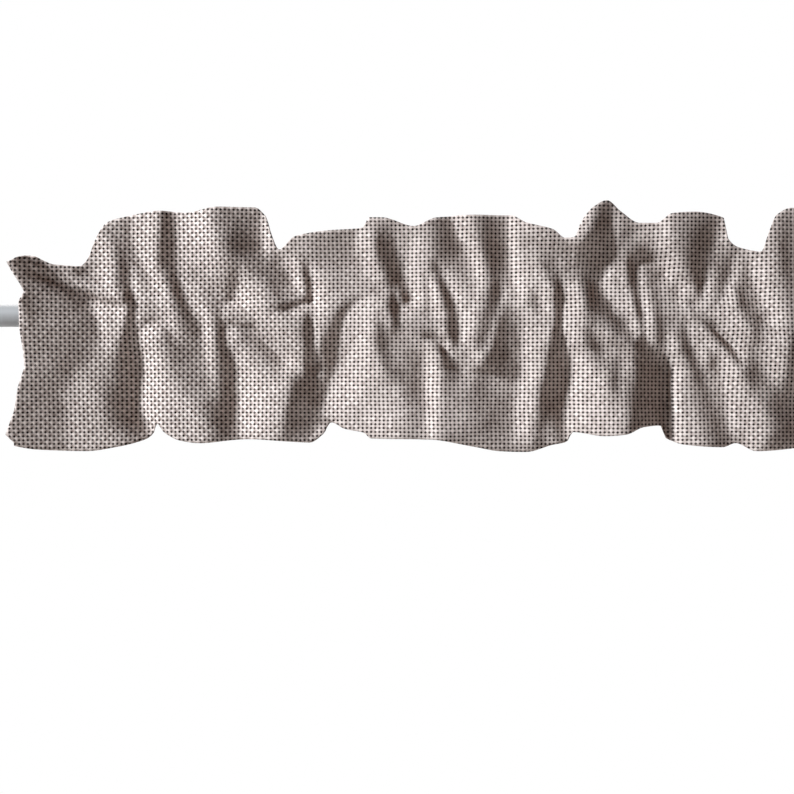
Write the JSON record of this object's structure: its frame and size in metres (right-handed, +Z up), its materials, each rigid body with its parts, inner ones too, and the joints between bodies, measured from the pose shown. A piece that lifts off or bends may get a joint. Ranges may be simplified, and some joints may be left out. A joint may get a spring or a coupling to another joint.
{
  "type": "window valance on a rod",
  "caption": "Gathered rod-pocket window valance with a frill above and a skirt below, on a plain round rod.",
  "frame": {"origin": "centre of the rod's left end face, seen from the front", "axes": "+X along the rod to its right end, +Z up, -Y towards the room that the valance faces"},
  "size_m": [1.278, 0.0962, 0.3134],
  "materials": {
    "cloth": "coarse open-looking plain weave, taupe, matt",
    "rod": "smooth light grey"
  },
  "bodies": {
    "root": {"valance": "cloth", "rod": "rod"}
  },
  "joints": []
}
